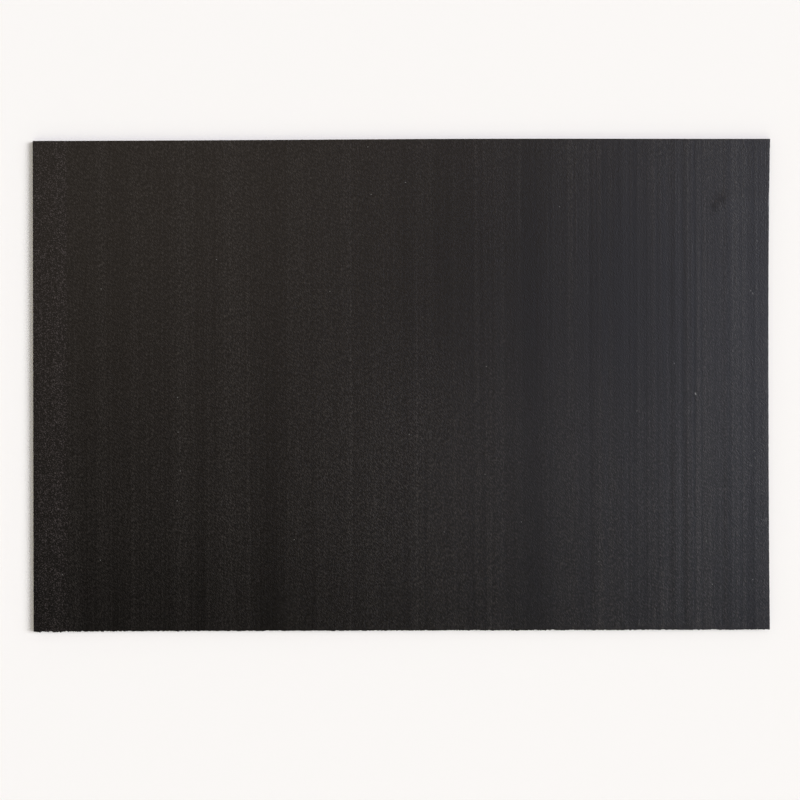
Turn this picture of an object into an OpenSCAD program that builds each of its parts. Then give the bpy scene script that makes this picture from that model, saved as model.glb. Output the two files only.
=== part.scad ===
// Self-healing cutting mat: a flat rectangular laminate of bonded plies.
// The origin is at the centre of the underside, with +X along the long side and +Z up.

/* [Outline] */
// Length of the mat along its long side
mat_length = 500; // [200:1:900]
// Width of the mat along its short side
mat_width = 333; // [150:1:600]

/* [Plies] */
// Thickness of the hard-wearing grained skin on the cutting side
surface_t = 0.3; // [0.2:0.05:0.6]
// Thickness of each of the two soft plies that close up after a cut
healing_t = 0.9; // [0.5:0.05:1.5]
// Thickness of the stiff sheet in the middle that stops the blade
core_t = 0.6; // [0.3:0.05:1.2]
// Thickness of the non-slip skin on the underside
grip_t = 0.3; // [0.2:0.05:0.6]

/* [Hidden] */

// Height of each ply's lower face, counted up from the underside
lower_healing_z = grip_t;
core_z = lower_healing_z + healing_t;
upper_healing_z = core_z + core_t;
surface_z = upper_healing_z + healing_t;

// One ply: a rectangle of the mat's full outline, with its lower face at height z
module ply(z, thickness) {
    translate([0, 0, z])
        linear_extrude(height = thickness)
            square([mat_length, mat_width], center = true);
}

// Skin that rests on the bench
module grip_layer() {
    color([0.13, 0.12, 0.12]) ply(0, grip_t);
}

// Soft ply under the core, for use of the mat the other way up
module lower_healing_layer() {
    color([0.17, 0.16, 0.155]) ply(lower_healing_z, healing_t);
}

// Stiff sheet between the two soft plies
module core_sheet() {
    color([0.11, 0.105, 0.10]) ply(core_z, core_t);
}

// Soft ply under the cutting surface
module upper_healing_layer() {
    color([0.17, 0.16, 0.155]) ply(upper_healing_z, healing_t);
}

// Grained skin that faces the knife
module surface_layer() {
    color([0.18, 0.16, 0.155]) ply(surface_z, surface_t);
}

grip_layer();
lower_healing_layer();
core_sheet();
upper_healing_layer();
surface_layer();
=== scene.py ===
import math

import bpy
import numpy as np
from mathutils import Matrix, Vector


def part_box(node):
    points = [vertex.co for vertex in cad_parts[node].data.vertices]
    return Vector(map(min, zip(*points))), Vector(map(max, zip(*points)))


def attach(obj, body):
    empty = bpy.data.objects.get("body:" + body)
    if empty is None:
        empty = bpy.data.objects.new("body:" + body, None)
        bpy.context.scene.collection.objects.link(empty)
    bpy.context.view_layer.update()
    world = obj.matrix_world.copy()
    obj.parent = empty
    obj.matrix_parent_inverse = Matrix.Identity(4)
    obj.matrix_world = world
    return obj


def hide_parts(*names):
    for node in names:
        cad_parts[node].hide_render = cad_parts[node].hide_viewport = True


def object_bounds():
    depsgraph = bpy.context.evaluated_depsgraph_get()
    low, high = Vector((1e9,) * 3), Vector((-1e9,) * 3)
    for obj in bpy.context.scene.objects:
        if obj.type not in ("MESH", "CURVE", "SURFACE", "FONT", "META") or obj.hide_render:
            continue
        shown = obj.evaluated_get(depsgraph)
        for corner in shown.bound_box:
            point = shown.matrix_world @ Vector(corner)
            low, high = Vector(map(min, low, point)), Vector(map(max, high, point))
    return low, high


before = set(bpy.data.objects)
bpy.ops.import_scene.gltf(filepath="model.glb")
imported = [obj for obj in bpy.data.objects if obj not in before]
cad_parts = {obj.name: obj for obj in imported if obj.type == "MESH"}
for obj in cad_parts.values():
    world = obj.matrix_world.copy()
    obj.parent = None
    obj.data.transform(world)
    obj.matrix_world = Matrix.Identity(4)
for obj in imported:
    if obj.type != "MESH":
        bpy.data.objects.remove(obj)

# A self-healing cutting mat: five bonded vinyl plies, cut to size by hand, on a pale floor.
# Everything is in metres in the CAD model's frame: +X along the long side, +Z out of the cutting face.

MM = 0.001
CAD_LOW, CAD_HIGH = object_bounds()

# ---------------------------------------------------------------- the cut outline
HALF_LENGTH = (CAD_HIGH.x - CAD_LOW.x) / 2
HALF_WIDTH = (CAD_HIGH.y - CAD_LOW.y) / 2

# ---------------------------------------------------------------- mesh fineness
SKIN_EDGE_STEP = 0.5 * MM  # along the edges of the two outer plies
PLY_EDGE_STEP = 0.7 * MM  # along the edges of the three inner plies
GRID_INSET = 3.0 * MM  # from the outline to the regular grid of an outer ply's face
BOND_BEVEL = 0.05 * MM  # at the edge of an outer ply's bonded face
PLY_INSET, PLY_BEVEL = 0.06 * MM, 0.08 * MM  # at the two edges of an inner ply's cut side


# ================================================================ random curves
def wavy(t, pitch, seed):
    """A smooth random curve between -1 and 1 that takes a new value each pitch."""
    values = np.random.default_rng(seed).uniform(-1, 1, 4096)
    cell = np.floor(t / pitch).astype(int)
    part = t / pitch - cell
    ease = part * part * (3 - 2 * part)
    return values[cell % 4096] * (1 - ease) + values[(cell + 1) % 4096] * ease


def patchy(x, y, pitch_x, pitch_y, seed):
    """A smooth random surface between -1 and 1, with its own pitch along X and along Y."""
    values = np.random.default_rng(seed).uniform(-1, 1, (1024, 1024))
    col, row = np.floor(x / pitch_x).astype(int), np.floor(y / pitch_y).astype(int)
    u, v = x / pitch_x - col, y / pitch_y - row
    u, v = u * u * (3 - 2 * u), v * v * (3 - 2 * v)
    c0, c1, r0, r1 = col % 1024, (col + 1) % 1024, row % 1024, (row + 1) % 1024
    near = values[r0, c0] * (1 - u) + values[r0, c1] * u
    far = values[r1, c0] * (1 - u) + values[r1, c1] * u
    return near * (1 - v) + far * v


def bell(t, centre, width):
    """A smooth hump of height 1."""
    return np.exp(-(((t - centre) / width) ** 2))


# ================================================================ the hand-cut outline
def back_edge(x):
    """How far the +Y edge stands out of the rectangle: it bulges gently past the middle."""
    bulge, bulge_at, bulge_width, trim = 0.66, 0.05, 0.15, 0.05
    return MM * (bulge * bell(x, bulge_at, bulge_width) - trim)


def front_edge(x):
    """How far the -Y edge stands out: nearly straight, flaring at its -X end."""
    straight, flare, flare_from, flare_length = 0.25, 0.25, -0.15, 0.1
    return MM * (straight + flare * np.clip((flare_from - x) / flare_length, 0, 1) ** 2)


def left_edge(y):
    """How far the -X edge stands out: straight, a little out of square."""
    trim, out_of_square = 0.09, 0.13
    return -MM * (trim + out_of_square * y / HALF_WIDTH)


def right_edge(y):
    """How far the +X edge stands out: hollow, and running out towards the +Y corner."""
    hollow_at, hollow = -0.038, 0.38
    low_rise, low_reach = 0.38, 0.113
    high_rise, high_reach = 1.24, 0.188
    from_hollow = y - hollow_at
    low_side = low_rise * (from_hollow / low_reach) ** 2
    high_side = high_rise * (np.clip(from_hollow, 0, None) / high_reach) ** 3
    return MM * (np.where(from_hollow < 0, low_side, high_side) - hollow)


EDGE_SHAPES = {"front": front_edge, "right": right_edge, "back": back_edge, "left": left_edge}
# How rough each cut is: the depth of its teeth, and the two pitches that they mix
EDGE_TEETH = {
    "front": (0.42 * MM, 0.8 * MM, 1.9 * MM),
    "right": (0.07 * MM, 1.6 * MM, 6.0 * MM),
    "back": (0.03 * MM, 1.5 * MM, 9.0 * MM),
    "left": (0.025 * MM, 1.5 * MM, 8.0 * MM),
}
EDGE_ORDER = ("front", "right", "back", "left")
FINE_SHARE, COARSE_SHARE = 0.7, 0.45  # of the two pitches, in the teeth that all plies share
COMMON_SHARE, OWN_SHARE = 0.8, 0.35  # of the shared teeth, and of each ply's own
OWN_PITCH = 1.3  # of a ply's own teeth, as a multiple of the fine pitch
RAGGED_FROM, RAGGED_FULL = 0.06, 0.01  # from the -X end: where the front edge's teeth begin to deepen
RAGGED_EXTRA = 0.9  # and by how much they do
BURR_AT, BURR_WIDTH, BURR_HEIGHT = 0.018, 0.35 * MM, 0.9 * MM  # one burr near the front edge's -X end
CORNER_FADE = 4  # points over which the teeth fade at each corner


def teeth(side, along, ply_seed):
    """The saw's or knife's marks along one edge: mostly shared by all plies, partly each ply's own."""
    depth, fine, coarse = EDGE_TEETH[side]
    seed = 10 * EDGE_ORDER.index(side)
    shared = FINE_SHARE * wavy(along, fine, seed) + COARSE_SHARE * wavy(along, coarse, seed + 1)
    own = wavy(along, fine * OWN_PITCH, seed + 2 + ply_seed)
    out = depth * (COMMON_SHARE * shared + OWN_SHARE * own)
    if side == "front":
        from_end = along + HALF_LENGTH
        ragged = np.clip((RAGGED_FROM - from_end) / (RAGGED_FROM - RAGGED_FULL), 0, 1)
        out = out * (1 + RAGGED_EXTRA * ragged)
        out = out + BURR_HEIGHT * bell(from_end, BURR_AT, BURR_WIDTH)
    return out


def outline(inset, z, step, ply_seed=0, roughness=1.0):
    """One closed ring of points at height z, inset from the cut edge, from the front left corner round.
    Rings with the same step have the same number of points."""
    half_x, half_y = HALF_LENGTH, HALF_WIDTH
    corners = {
        "left_front": (-half_x - left_edge(-half_y), -half_y - front_edge(-half_x)),
        "right_front": (half_x + right_edge(-half_y), -half_y - front_edge(half_x)),
        "right_back": (half_x + right_edge(half_y), half_y + back_edge(half_x)),
        "left_back": (-half_x - left_edge(half_y), half_y + back_edge(-half_x)),
    }
    ends = {
        "front": ("left_front", "right_front"),
        "right": ("right_front", "right_back"),
        "back": ("right_back", "left_back"),
        "left": ("left_back", "left_front"),
    }
    points = []
    for side in EDGE_ORDER:
        start, end = (np.array(corners[c]) for c in ends[side])
        start, end = start - inset * np.sign(start), end - inset * np.sign(end)
        across_x = side in ("front", "back")
        count = round((2 * half_x if across_x else 2 * half_y) / step)
        share = np.arange(count) / count
        x, y = (start[i] + (end[i] - start[i]) * share for i in (0, 1))
        along = x if across_x else y
        fade = np.clip(np.minimum(share, 1 - share) * count / CORNER_FADE, 0, 1) * roughness
        out = EDGE_SHAPES[side](along) + teeth(side, along, ply_seed) * fade - inset
        if side == "front":
            y = -half_y - out
        elif side == "right":
            x = half_x + out
        elif side == "back":
            y = half_y + out
        else:
            x = -half_x - out
        points.append(np.stack([x, y, np.full(count, z)], 1))
    return np.concatenate(points)


# ================================================================ mesh building
class Shell:
    """Gathers rings and grids of points, and the faces between them."""

    def __init__(self):
        self.points, self.faces, self.count = [], [], 0

    def add(self, points):
        """Adds points and returns their indices."""
        self.points.append(points)
        self.count += len(points)
        return np.arange(self.count - len(points), self.count)

    def band(self, lower, upper):
        """Quads between two rings with the same number of points."""
        n = len(lower)
        for i in range(n):
            j = (i + 1) % n
            self.faces.append((lower[i], lower[j], upper[j], upper[i]))

    def lace(self, outer, inner, outer_at, inner_at):
        """Triangles between two rings with different numbers of points, whose places round the ring
        run from 0 to 1."""
        i = j = 0
        n, m = len(outer), len(inner)
        while i < n or j < m:
            next_outer = outer_at[i + 1] if i + 1 < n else 1.0
            next_inner = inner_at[j + 1] if j + 1 < m else 1.0
            if j >= m or (i < n and next_outer <= next_inner):
                self.faces.append((outer[i % n], outer[(i + 1) % n], inner[j % m]))
                i += 1
            else:
                self.faces.append((outer[i % n], inner[(j + 1) % m], inner[j % m]))
                j += 1

    def cap(self, ring, upward):
        """One flat face over a ring."""
        self.faces.append(tuple(ring if upward else ring[::-1]))

    def build(self, name, sharp_degrees=40):
        points = np.concatenate(self.points)
        mesh = bpy.data.meshes.new(name)
        mesh.from_pydata(points.tolist(), [], [tuple(int(v) for v in f) for f in self.faces])
        mesh.polygons.foreach_set("use_smooth", [True] * len(mesh.polygons))
        mesh.set_sharp_from_angle(angle=math.radians(sharp_degrees))
        mesh.validate()
        piece = bpy.data.objects.new(name, mesh)
        bpy.context.scene.collection.objects.link(piece)
        return piece


def round_the_ring(points):
    """Each point's place round a ring, from 0 to 1: a quarter for each side, from the front left corner."""
    x, y = points[:, 0], points[:, 1]
    half_x, half_y = np.abs(x).max(), np.abs(y).max()
    u, v = x / half_x, y / half_y
    place = np.where(
        (v <= -np.abs(u)), (u + 1) / 8,
        np.where((u >= np.abs(v)), 0.25 + (v + 1) / 8,
                 np.where((v >= np.abs(u)), 0.5 + (1 - u) / 8, 0.75 + (1 - v) / 8)),
    )
    return np.maximum.accumulate(place)


# ================================================================ relief of the cutting face
# The calender left ledges along Y, which grow from nothing across the +X half
LEDGE_HEIGHT = 0.045 * MM
LEDGE_PITCH = 4.5 * MM
LEDGES_START, LEDGES_FULL = 0.04, 0.15  # along X
LEDGE_SEED = 31
LEDGE_UNEVEN, LEDGE_UNEVEN_PITCH = 0.25, 60 * MM  # how much, and how often, a ledge varies along Y
# Small blisters whose steep flank faces -X: mm from the -X edge and from the -Y edge
BLISTERS = ((468, 292), (463, 287))
BLISTER_HEIGHT, BLISTER_WIDTH = 0.15 * MM, 4.2 * MM
BLISTER_FLANK, BLISTER_TAIL = 2.8 * MM, 25 * MM
WANDER, WANDER_PITCH = 0.3 * MM, 90 * MM  # how far the marks along Y stray from straight
FINE_LINE_HEIGHT = 0.010 * MM
FINE_LINES_START, FINE_LINES_SPAN, FINE_LINES_LEAST = 0.05, 0.18, 0.35
WAVE_HEIGHT, WAVE_PITCH = 0.03 * MM, (70 * MM, 55 * MM)  # the sheet's slow unevenness


def relief(x, y):
    """Height of the cutting face above its plane: the ledges, the blisters, fine lines that grow
    towards +X, and a slow unevenness of the sheet."""
    wander = WANDER * wavy(y, WANDER_PITCH, 5)
    from_left = x + wander + HALF_LENGTH
    share = np.clip((x - LEDGES_START) / (LEDGES_FULL - LEDGES_START), 0, 1)
    strength = 1 - LEDGE_UNEVEN + LEDGE_UNEVEN * wavy(y, LEDGE_UNEVEN_PITCH, LEDGE_SEED + 1)
    height = LEDGE_HEIGHT * share * strength * wavy(from_left, LEDGE_PITCH, LEDGE_SEED)
    for at, from_front in BLISTERS:
        past, beside = from_left - at * MM, y + HALF_WIDTH - from_front * MM
        flank = 1 + np.tanh(past / BLISTER_FLANK)
        tail = np.exp(-np.clip(past, 0, None) / BLISTER_TAIL)
        height = height + BLISTER_HEIGHT * flank * tail * bell(beside, 0, BLISTER_WIDTH)
    growth = np.clip((x - FINE_LINES_START) / FINE_LINES_SPAN, 0, 1)
    growth = FINE_LINES_LEAST + (1 - FINE_LINES_LEAST) * growth
    lines = 0.6 * patchy(x + wander, y, 1.9 * MM, 140 * MM, 7)
    lines = lines + patchy(x + wander, y, 4.5 * MM, 220 * MM, 8)
    height = height + FINE_LINE_HEIGHT * growth * lines
    return height + WAVE_HEIGHT * patchy(x, y, *WAVE_PITCH, 9)


COARSE_COLUMN, FINE_COLUMN = 1.25 * MM, 0.75 * MM
FINER_FROM, FINER_SPAN = 0.02, 0.1  # where along X the columns draw closer


def skin_columns():
    """X places of the grid's columns: finer towards +X, where the marks are strongest."""
    reach = HALF_LENGTH - GRID_INSET
    columns = [-reach]
    while columns[-1] < reach:
        share = np.clip((columns[-1] - FINER_FROM) / FINER_SPAN, 0, 1)
        columns.append(columns[-1] + COARSE_COLUMN - (COARSE_COLUMN - FINE_COLUMN) * share)
    return np.array(columns) * reach / columns[-1]


def grid_border(rows, cols):
    """Indices of a rows by cols grid's border, counted like the outline, from the front left corner."""
    index = np.arange(rows * cols).reshape(rows, cols)
    return np.concatenate([index[0, :-1], index[:-1, -1], index[-1, :0:-1], index[:0:-1, 0]])


def skin(name, node, face_up, row_step, columns, relief_at, rim):
    """An outer ply: a gridded face with relief, a rounded rim, a cut side and a flat bonded face."""
    low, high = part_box(node)
    face_z, bond_z = (high.z, low.z) if face_up else (low.z, high.z)
    out = 1 if face_up else -1
    shell = Shell()
    reach_y = HALF_WIDTH - GRID_INSET
    rows = np.linspace(-reach_y, reach_y, round(2 * reach_y / row_step))
    gx, gy = np.meshgrid(columns, rows)
    lift = relief_at(gx, gy)
    grid = np.stack([gx, gy, face_z + out * lift], 2).reshape(-1, 3)
    index = shell.add(grid).reshape(len(rows), len(columns))
    quads = np.stack([index[:-1, :-1], index[:-1, 1:], index[1:, 1:], index[1:, :-1]], 2)
    border = index.reshape(-1)[grid_border(len(rows), len(columns))]

    seed = 3 if face_up else 4
    rings = []
    for inset, drop, rough in rim:
        points = outline(inset, face_z - out * drop, SKIN_EDGE_STEP, seed, rough)
        if drop == 0:
            points[:, 2] += out * relief_at(points[:, 0], points[:, 1])
        rings.append(shell.add(points))
    for inset, back_off in ((0.0, BOND_BEVEL), (BOND_BEVEL, 0.0)):
        rings.append(shell.add(outline(inset, bond_z + out * back_off, SKIN_EDGE_STEP, seed)))

    places = [round_the_ring(grid[grid_border(len(rows), len(columns))])]
    places.append(round_the_ring(shell.points[1]))
    shell.lace(rings[0], border, places[1], places[0])
    for inner, outer in zip(rings, rings[1:]):
        shell.band(outer, inner)
    shell.cap(rings[-1], upward=False)
    shell.faces.extend(map(tuple, quads.reshape(-1, 4)))
    if not face_up:
        shell.faces = [f[::-1] for f in shell.faces]
    return shell.build(name)


SKIN_RIM = (  # inset, drop below the face, share of the cut's roughness
    (1.2 * MM, 0.0, 0.0),
    (0.35 * MM, 0.0, 0.7),
    (0.14 * MM, 0.02 * MM, 0.9),
    (0.04 * MM, 0.07 * MM, 1.0),
    (0.0, 0.16 * MM, 1.0),
)


def inner_ply(name, node, seed, bulge):
    """A ply whose two faces are bonded: its cut side bulges if it is soft, and hollows if it is hard."""
    low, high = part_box(node)
    height = high.z - low.z
    shell = Shell()
    profile = (
        (PLY_INSET, 0.0),
        (0.0, PLY_BEVEL),
        (-bulge, height / 2),
        (0.0, height - PLY_BEVEL),
        (PLY_INSET, height),
    )
    rings = [shell.add(outline(inset, low.z + up, PLY_EDGE_STEP, seed)) for inset, up in profile]
    for lower, upper in zip(rings, rings[1:]):
        shell.band(lower, upper)
    shell.cap(rings[0], upward=False)
    shell.cap(rings[-1], upward=True)
    return shell.build(name)


# ================================================================ materials
def new_material(name):
    """A material, its node tree and its Principled shader."""
    material = bpy.data.materials.new(name)
    material.use_nodes = True
    tree = material.node_tree
    return material, tree, tree.nodes["Principled BSDF"]


def add_node(tree, kind, settings=None, **inputs):
    """A new node with its settings made and its inputs linked or set."""
    node = tree.nodes.new(kind)
    for key, value in (settings or {}).items():
        setattr(node, key, value)
    for key, value in inputs.items():
        socket = node.inputs[int(key[1:]) if key[0] == "i" and key[1:].isdigit() else key]
        if isinstance(value, bpy.types.NodeSocket):
            tree.links.new(value, socket)
        else:
            socket.default_value = value
    return node


def maths(tree, operation, a, b):
    """The result of one maths step on two values or sockets."""
    return add_node(tree, "ShaderNodeMath", {"operation": operation}, i0=a, i1=b).outputs[0]


def plus(tree, a, b):
    return maths(tree, "ADD", a, b)


def times(tree, a, b):
    return maths(tree, "MULTIPLY", a, b)


def stretched_noise(tree, where, size, turn=0.0, detail=2.0, seed=0.0):
    """Noise whose blobs have this size in metres along X and Y, turned about Z."""
    placed = add_node(
        tree, "ShaderNodeMapping", {"vector_type": "TEXTURE"},
        Vector=where, Rotation=(0, 0, turn), Scale=(size[0], size[1], size[0]), Location=(seed, seed, 0),
    )
    noise = add_node(tree, "ShaderNodeTexNoise", Vector=placed.outputs[0], Scale=1.0, Detail=detail)
    return noise.outputs[0]


def ramp(tree, value, low, high, to_low=0.0, to_high=1.0, smooth=True):
    """A value mapped from one range to another, clamped."""
    names = {"From Min": low, "From Max": high, "To Min": to_low, "To Max": to_high}
    kind = "SMOOTHSTEP" if smooth else "LINEAR"
    node = add_node(tree, "ShaderNodeMapRange", {"interpolation_type": kind}, Value=value)
    for key, number in names.items():
        node.inputs[key].default_value = number
    return node.outputs[0]


def specks(tree, where, cell, radius, share, seed):
    """1 inside small round specks: at most one in each cell, and one in this share of the cells."""
    placed = add_node(
        tree, "ShaderNodeMapping", {"vector_type": "TEXTURE"},
        Vector=where, Scale=(cell, cell, cell), Location=(seed * MM, 0, 0),
    )
    cells = add_node(
        tree, "ShaderNodeTexVoronoi", {"voronoi_dimensions": "2D"}, Vector=placed.outputs[0], Scale=1.0,
    )
    inside = ramp(tree, cells.outputs["Distance"], 0.4 * radius / cell, radius / cell, 1.0, 0.0)
    pick = add_node(tree, "ShaderNodeSeparateXYZ", Vector=cells.outputs["Color"]).outputs[0]
    return times(tree, inside, maths(tree, "LESS_THAN", pick, share))


# The grain: each kind's width and length
STROKE_SIZE, STROKE_TURN = (0.49 * MM, 1.9 * MM), math.radians(28)
PEBBLE_SIZE = (0.65 * MM, 0.65 * MM)
FINE_SIZE = (0.35 * MM, 1.3 * MM)
GRAIN_MIX = (0.72, 0.28)  # shares of the strokes or pebbles, and of the fine grain
GRAIN_GAIN, GRAIN_GAIN_RIGHT = 1.2, 0.3  # the grain's height, and what the +X side adds to it
LINE_HEIGHT, LINE_HEIGHT_RIGHT = 0.2, 0.25  # the same for the fine lines
BUMP_DEPTH = 0.115 * MM
PEBBLED_FROM, PEBBLED_TO = 0.022, 0.026  # from the -X edge: where the pebbled strip fades out

# The calender's marks run along Y, as noise that is far longer along Y than across it: its pitch along
# X, and how strongly it changes the tone
MARK_LENGTH = 900 * MM
BAND_PITCH, BAND_TONE = 24 * MM, 0.5
# The lines' tone, and the clear lines' tone from its share at -X, grow towards +X as painted sheen,
# strongest where the window's light falls
LINE_PITCH, LINE_TONE, LINE_SHEEN_RIGHT = 1.3 * MM, 0.38, 1.5
CLEAR_LINE_PITCH, CLEAR_LINE_TONE, CLEAR_LINE_LEFT = 5 * MM, 0.2, 0.3
PEBBLED_TONE = 0.05  # how much lighter the pebbled strip is

# How the tone changes the colour and the roughness, which stays above the smoothest
TONE_TO_COLOUR = 3.0
TONE_TO_ROUGHNESS = 0.15
FACE_ROUGHNESS = 0.32
SMOOTHEST = 0.278

# The black vinyl's own darkest level, and the palest level of the glints painted on the grain's tops, on
# the stroked face and on the pebbled strip
DARK_LEVEL = 0.001
STROKE_GLINT_LEVEL = 0.0235
PEBBLE_GLINT_LEVEL = 0.038
DUST = (0.16, 0.16, 0.155)
DUST_CELL, DUST_RADIUS, DUST_SHARE, DUST_SEED = 26 * MM, 0.4 * MM, 0.12, 3
# The three nicks that show best: mm from the -X edge and from the -Y edge, width, length along Y, turn in
# degrees, and how pale. The rest of the dust is scattered by specks().
NICKS = (
    (450, 160, 1.0, 2.0, 20, 1.0),
    (489, 228, 0.9, 1.9, 15, 0.45),
    (457, 60, 0.7, 2.2, 5, 0.25),
)
# Soft patches of darker or lighter face, whose roughness changes with them: painted shade over the upper +X
# part and the lower -X corner, and painted sheen in the lower middle. mm from the -X edge and from the -Y
# edge, width, length, turn in degrees, and how much lighter they look. The first two darken the face over
# the blisters.
SHADE_SHEEN_AND_BLISTER_PATCHES = (
    (468, 292, 7, 5, 40, -0.3),
    (463, 287, 6, 7, 0, -0.3),
    (350, 250, 300, 250, 0, -0.25),
    (430, 200, 150, 250, 0, -0.15),
    (250, 100, 150, 200, 0, 0.1),
    (100, 0, 350, 150, 0, -0.12),
)


def spot(tree, where, from_left, from_front, width, length, turn, core=0.5, fade=1.2):
    """1 in the middle of one soft ellipse and 0 outside it; sizes in mm, turn in degrees."""
    place = (from_left * MM - HALF_LENGTH, from_front * MM - HALF_WIDTH, 0)
    placed = add_node(
        tree, "ShaderNodeMapping", {"vector_type": "TEXTURE"}, Vector=where, Location=place,
        Rotation=(0, 0, math.radians(turn)), Scale=(width * MM / 2, length * MM / 2, 1),
    )
    reach = add_node(tree, "ShaderNodeVectorMath", {"operation": "LENGTH"}, i0=placed.outputs[0])
    return ramp(tree, reach.outputs["Value"], core, fade, 1.0, 0.0)


def nicks(tree, where):
    """How much of the dust's colour shows: 0 on the clean face."""
    total = 0.0
    for *place, pale in NICKS:
        total = maths(tree, "MAXIMUM", total, times(tree, spot(tree, where, *place), pale))
    return total


def two_tone(tree, share, dark, pale, green=0.88, blue=0.81):
    """A warm near-black that goes from one level to the other."""
    node = add_node(tree, "ShaderNodeMix", {"data_type": "RGBA"}, i0=share)
    for socket, level in ((6, dark), (7, pale)):
        node.inputs[socket].default_value = (level, green * level, blue * level, 1)
    return node.outputs[2]


def face_grain(tree, where, pebbled):
    """The grain: slanting strokes, or pebbles on the pebbled strip, with finer grain over both."""
    strokes = stretched_noise(tree, where, STROKE_SIZE, STROKE_TURN, 1.0)
    pebbles = stretched_noise(tree, where, PEBBLE_SIZE, 0.0, 1.0, 3.0)
    fine = stretched_noise(tree, where, FINE_SIZE, STROKE_TURN, 0.0, 5.0)
    grain = add_node(tree, "ShaderNodeMix", i0=pebbled, i2=strokes, i3=pebbles).outputs[0]
    coarse_share, fine_share = GRAIN_MIX
    return plus(tree, times(tree, grain, coarse_share), times(tree, fine, fine_share))


def face_tone(tree, where, x, pebbled, lines, right):
    """How much lighter than the plain face each place looks: bands, lines with painted sheen towards +X,
    pebbled strip, and patches of painted shade and painted sheen.
    """
    bands = stretched_noise(tree, where, (BAND_PITCH, MARK_LENGTH), 0.0, 1.0, 11.0)
    clear_lines = stretched_noise(tree, where, (CLEAR_LINE_PITCH, MARK_LENGTH), 0.0, 2.0, 13.0)
    # The lines' tone gains painted sheen towards +X
    line_gain = times(tree, plus(tree, times(tree, right, LINE_SHEEN_RIGHT), 1.0), LINE_TONE)
    line_tone = times(tree, maths(tree, "SUBTRACT", lines, 0.5), line_gain)
    tone = plus(tree, line_tone, times(tree, maths(tree, "SUBTRACT", bands, 0.5), BAND_TONE))
    clear = times(tree, ramp(tree, clear_lines, 0.56, 0.68), CLEAR_LINE_TONE)
    # The clear lines grow paler towards +X as painted sheen
    clear_growth = ramp(tree, x, -HALF_LENGTH, 0.2, CLEAR_LINE_LEFT, 1.0)
    tone = plus(tree, tone, times(tree, clear, clear_growth))
    tone = plus(tree, tone, times(tree, pebbled, PEBBLED_TONE))
    # Patches of painted shade and painted sheen, and darker face over the blisters
    for *place, lighter in SHADE_SHEEN_AND_BLISTER_PATCHES:
        patch = spot(tree, where, *place, core=0.1)
        tone = plus(tree, tone, times(tree, patch, lighter))
    return tone


def face_colour(tree, where, grain, tone, pebbled):
    """Near-black vinyl, paler on top of the grain as painted glints, with dust on it."""
    # The grain's paler tops are painted glints: the light that the grain's relief would catch
    stroked = two_tone(tree, ramp(tree, grain, 0.44, 0.70), DARK_LEVEL, STROKE_GLINT_LEVEL)
    dotted = two_tone(tree, ramp(tree, grain, 0.50, 0.70), DARK_LEVEL, PEBBLE_GLINT_LEVEL, 0.84, 0.84)
    plain = add_node(tree, "ShaderNodeMix", {"data_type": "RGBA"}, i0=pebbled, i6=stroked, i7=dotted)
    gain = plus(tree, times(tree, tone, TONE_TO_COLOUR), 1.0)
    toned = add_node(
        tree, "ShaderNodeVectorMath", {"operation": "SCALE"}, i0=plain.outputs[2], Scale=gain,
    )
    scattered = specks(tree, where, DUST_CELL, DUST_RADIUS, DUST_SHARE, DUST_SEED)
    dust = maths(tree, "MAXIMUM", nicks(tree, where), scattered)
    marked = add_node(tree, "ShaderNodeMix", {"data_type": "RGBA"}, i0=dust, i6=toned.outputs[0])
    marked.inputs[7].default_value = (*DUST, 1)
    return marked.outputs[2]


def surface_material():
    """Black calendered vinyl: slanting strokes, a pebbled strip along -X, and marks that run along Y."""
    material, tree, shader = new_material("cutting_surface_vinyl")
    where = add_node(tree, "ShaderNodeTexCoord").outputs["Object"]
    x = add_node(tree, "ShaderNodeSeparateXYZ", Vector=where).outputs[0]
    pebbled = ramp(tree, x, PEBBLED_FROM - HALF_LENGTH, PEBBLED_TO - HALF_LENGTH, 1.0, 0.0)
    # 1 towards +X: there the lines' relief deepens, and their tone gains painted sheen
    right = ramp(tree, x, 0.09, 0.21)
    lines = stretched_noise(tree, where, (LINE_PITCH, MARK_LENGTH), 0.0, 3.0, 7.0)
    grain = face_grain(tree, where, pebbled)
    tone = face_tone(tree, where, x, pebbled, lines, right)

    grain_gain = plus(tree, times(tree, ramp(tree, x, 0.03, 0.15), GRAIN_GAIN_RIGHT), GRAIN_GAIN)
    line_gain = plus(tree, times(tree, right, LINE_HEIGHT_RIGHT), LINE_HEIGHT)
    height = plus(tree, times(tree, grain, grain_gain), times(tree, lines, line_gain))
    bump = add_node(tree, "ShaderNodeBump", Height=height, Strength=1.0, Distance=BUMP_DEPTH)
    tree.links.new(bump.outputs[0], shader.inputs["Normal"])

    colour = face_colour(tree, where, grain, tone, pebbled)
    tree.links.new(colour, shader.inputs["Base Color"])
    rough = plus(tree, times(tree, tone, TONE_TO_ROUGHNESS), FACE_ROUGHNESS)
    tree.links.new(maths(tree, "MAXIMUM", rough, SMOOTHEST), shader.inputs["Roughness"])
    shader.inputs["Specular IOR Level"].default_value = 0.5
    return material


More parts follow.
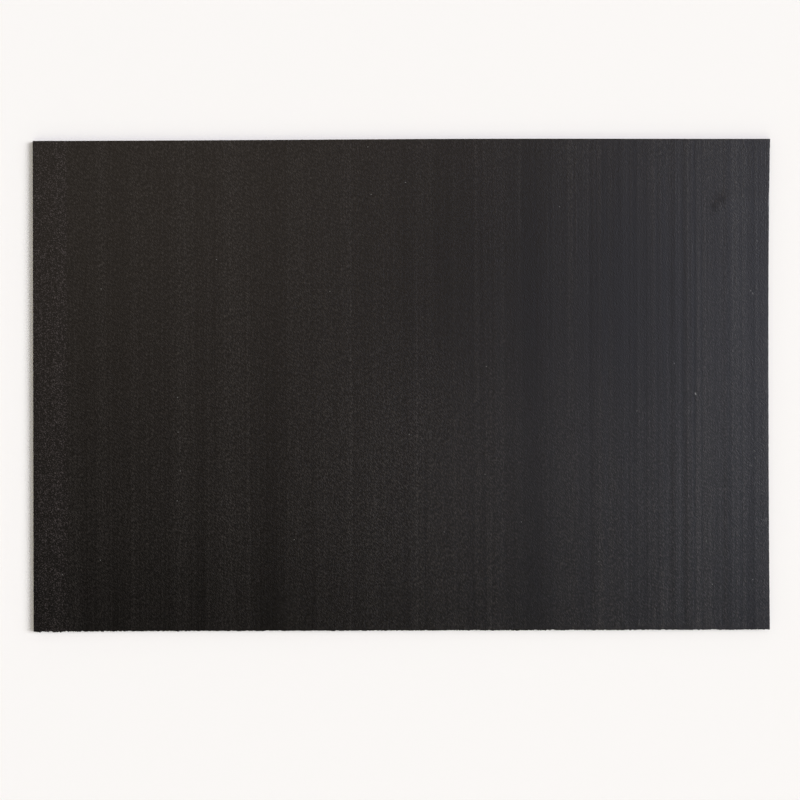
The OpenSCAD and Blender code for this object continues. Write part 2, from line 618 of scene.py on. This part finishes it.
def cut_material(name, dark, pale, roughness):
    """The freshly cut side of a ply, or the underside: a fine mottle."""
    material, tree, shader = new_material(name)
    where = add_node(tree, "ShaderNodeTexCoord").outputs["Object"]
    mottle = stretched_noise(tree, where, (0.5 * MM, 0.5 * MM), 0.0, 3.0)
    colour = add_node(tree, "ShaderNodeMix", {"data_type": "RGBA"}, i0=ramp(tree, mottle, 0.3, 0.7))
    colour.inputs[6].default_value = (*dark, 1)
    colour.inputs[7].default_value = (*pale, 1)
    tree.links.new(colour.outputs[2], shader.inputs["Base Color"])
    bump = add_node(tree, "ShaderNodeBump", Height=mottle, Strength=1.0, Distance=0.05 * MM)
    tree.links.new(bump.outputs[0], shader.inputs["Normal"])
    shader.inputs["Roughness"].default_value = roughness
    return material


# ================================================================ the pieces
FACE_ROW_STEP, UNDERSIDE_ROW_STEP = 2.36 * MM, 2.5 * MM
UNDERSIDE_COLUMNS = np.linspace(GRID_INSET - HALF_LENGTH, HALF_LENGTH - GRID_INSET, 220)
UNDERSIDE_RELIEF, UNDERSIDE_PITCH = 0.02 * MM, 5 * MM
SOFT_BULGE, CORE_HOLLOW = 0.03 * MM, 0.04 * MM


def underside_relief(x, y):
    """The grip skin's face, which never stands below its plane."""
    return -UNDERSIDE_RELIEF * (1 + patchy(x, y, UNDERSIDE_PITCH, UNDERSIDE_PITCH, 21))


def make(piece, node, material):
    """Gives a piece its material, and puts it in the place of its CAD node."""
    piece.data.materials.append(material)
    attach(piece, "root")
    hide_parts(node)


cutting_face = surface_material()
healing = cut_material("healing_ply_vinyl", (0.018, 0.016, 0.015), (0.03, 0.027, 0.026), 0.7)
core = cut_material("core_ply_vinyl", (0.010, 0.010, 0.010), (0.018, 0.018, 0.018), 0.5)
grip = cut_material("grip_ply_vinyl", (0.012, 0.012, 0.012), (0.022, 0.021, 0.021), 0.8)

make(
    skin("cutting_skin", "surface_layer", True, FACE_ROW_STEP, skin_columns(), relief, SKIN_RIM),
    "surface_layer", cutting_face,
)
make(inner_ply("upper_soft_ply", "upper_healing_layer", 5, SOFT_BULGE), "upper_healing_layer", healing)
make(inner_ply("stiff_core_ply", "core_sheet", 6, -CORE_HOLLOW), "core_sheet", core)
make(inner_ply("lower_soft_ply", "lower_healing_layer", 7, SOFT_BULGE), "lower_healing_layer", healing)
make(
    skin("grip_skin", "grip_layer", False, UNDERSIDE_ROW_STEP, UNDERSIDE_COLUMNS, underside_relief,
         SKIN_RIM),
    "grip_layer", grip,
)


# ================================================================ floor, light and camera
def floor():
    mesh = bpy.data.meshes.new("floor")
    """A wide pale floor, just under the mat."""
    reach, gap = 12.0, 0.02 * MM
    z = CAD_LOW.z - gap
    corners = [(-reach, -reach, z), (reach, -reach, z), (reach, reach, z), (-reach, reach, z)]
    mesh.from_pydata(corners, [], [(0, 1, 2, 3)])
    plane = bpy.data.objects.new("floor", mesh)
    bpy.context.scene.collection.objects.link(plane)
    material, tree, shader = new_material("pale_floor")
    shader.inputs["Base Color"].default_value = (0.88, 0.87, 0.86, 1)
    shader.inputs["Roughness"].default_value = 0.8
    shader.inputs["Specular IOR Level"].default_value = 0.2
    mesh.materials.append(material)


def soft_light(name, azimuth, elevation, spread, strength):
    """A distant lamp, as wide as this spread in degrees, in the direction given from the mat."""
    data = bpy.data.lights.new(name, "SUN")
    data.angle = math.radians(spread)
    data.energy = max(strength)
    data.color = [part / data.energy for part in strength]
    lamp = bpy.data.objects.new(name, data)
    lamp.rotation_euler = (0, math.radians(90 - elevation), math.radians(azimuth))
    bpy.context.scene.collection.objects.link(lamp)


# The soft room all round: how bright its walls and ceiling are at each elevation in degrees
ROOM = ((0, 0.9), (12, 0.75), (25, 0.45), (40, 0.2), (58, 0.0))


def room():
    """A world that fades from pale walls to a dark ceiling."""
    surround = bpy.data.worlds.new("room")
    bpy.context.scene.world = surround
    surround.use_nodes = True
    tree = surround.node_tree
    up = add_node(tree, "ShaderNodeTexCoord").outputs["Generated"]
    height = add_node(tree, "ShaderNodeSeparateXYZ", Vector=up).outputs[2]
    fade = add_node(tree, "ShaderNodeValToRGB", Fac=height)
    stops = fade.color_ramp.elements
    while len(stops) > 1:
        stops.remove(stops[-1])
    for number, (elevation, level) in enumerate(ROOM):
        stop = stops[0] if number == 0 else stops.new(1.0)
        stop.position = math.sin(math.radians(elevation))
        stop.color = (level, level, level, 1)
    tree.links.new(fade.outputs[0], tree.nodes["Background"].inputs["Color"])
    tree.nodes["Background"].inputs["Strength"].default_value = 1.0


# Each lamp's azimuth, elevation and spread in degrees, and the light that it gives in red, green and
# blue: a big window low at the +X end, cool sky above it, and warm walls on the other sides
LAMPS = {
    "window": (5, 30, 30, (3.4, 3.4, 3.5)),
    "sky": (10, 55, 45, (0.3, 0.35, 0.5)),
    "ceiling": (70, 70, 60, (0.3, 0.24, 0.2)),
    "back_wall": (135, 50, 60, (0.25, 0.2, 0.15)),
    "front_wall": (270, 25, 60, (0.8, 0.8, 0.5)),
}

floor()
room()
for lamp_name, (azimuth, elevation, spread, strength) in LAMPS.items():
    soft_light(lamp_name, azimuth, elevation, spread, strength)

camera_data = bpy.data.cameras.new("overhead")
camera_data.lens = 46
camera = bpy.data.objects.new("overhead", camera_data)
camera.location = (-0.00073, -0.0102, 0.6972)
camera.rotation_euler = (0, 0, math.radians(-0.152))
bpy.context.scene.collection.objects.link(camera)
bpy.context.scene.camera = camera
bpy.context.scene.view_settings.view_transform = "Standard"
